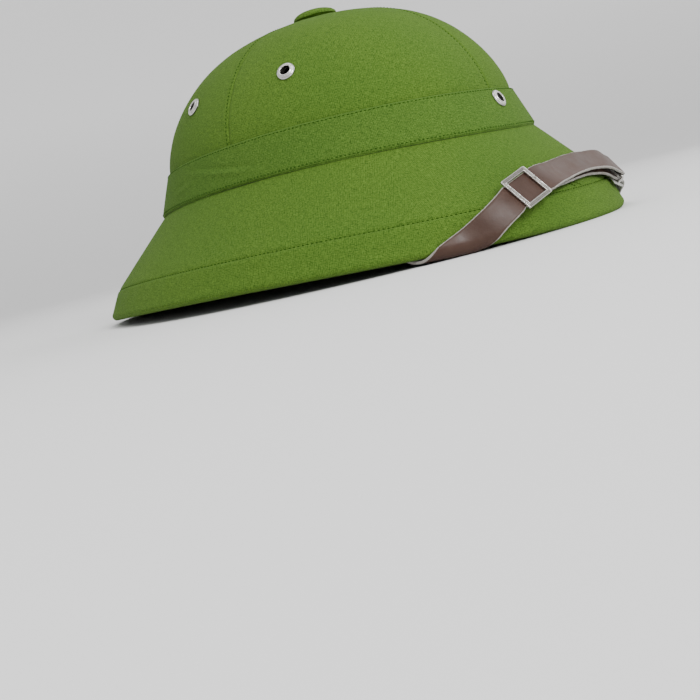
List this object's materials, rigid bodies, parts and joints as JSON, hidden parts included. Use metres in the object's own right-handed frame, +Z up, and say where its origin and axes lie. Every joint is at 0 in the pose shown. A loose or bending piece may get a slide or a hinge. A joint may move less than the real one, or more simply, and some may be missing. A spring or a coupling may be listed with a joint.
{
  "type": "pith helmet",
  "caption": "Cloth-covered pith helmet with a domed crown in sewn panels, hat band, sloping brim, top button, vent eyelets and a leather chin strap worn over the front of the brim.",
  "frame": {"origin": "on the floor, under the middle of the brim", "axes": "+Z up, -Y towards the front of the helmet, -X towards the wearer's right"},
  "size_m": [0.2662, 0.3114, 0.1437],
  "materials": {
    "crown_cloth": "plain weave, matt",
    "band_cloth": "plain weave, matt",
    "dark_inside": "matt",
    "strap_leather": "smooth, half gloss",
    "nickel": "nickel plate, slightly dulled"
  },
  "bodies": {
    "root": {"shell": "dark_inside", "brim_cover": "crown_cloth", "hat_band": "band_cloth", "crown_panel_front_right": "crown_cloth", "crown_panel_back_right": "crown_cloth", "crown_panel_back_left": "crown_cloth", "crown_panel_front_left": "crown_cloth", "top_button": "crown_cloth", "eyelet_front": "nickel", "eyelet_right_front": "nickel", "eyelet_right_back": "nickel", "eyelet_left_front": "nickel", "eyelet_left_back": "nickel", "strap_right": "strap_leather", "strap_left": "strap_leather", "slide_right": "nickel", "slide_left": "nickel", "rivet_right": "nickel", "rivet_left": "nickel"}
  },
  "joints": []
}
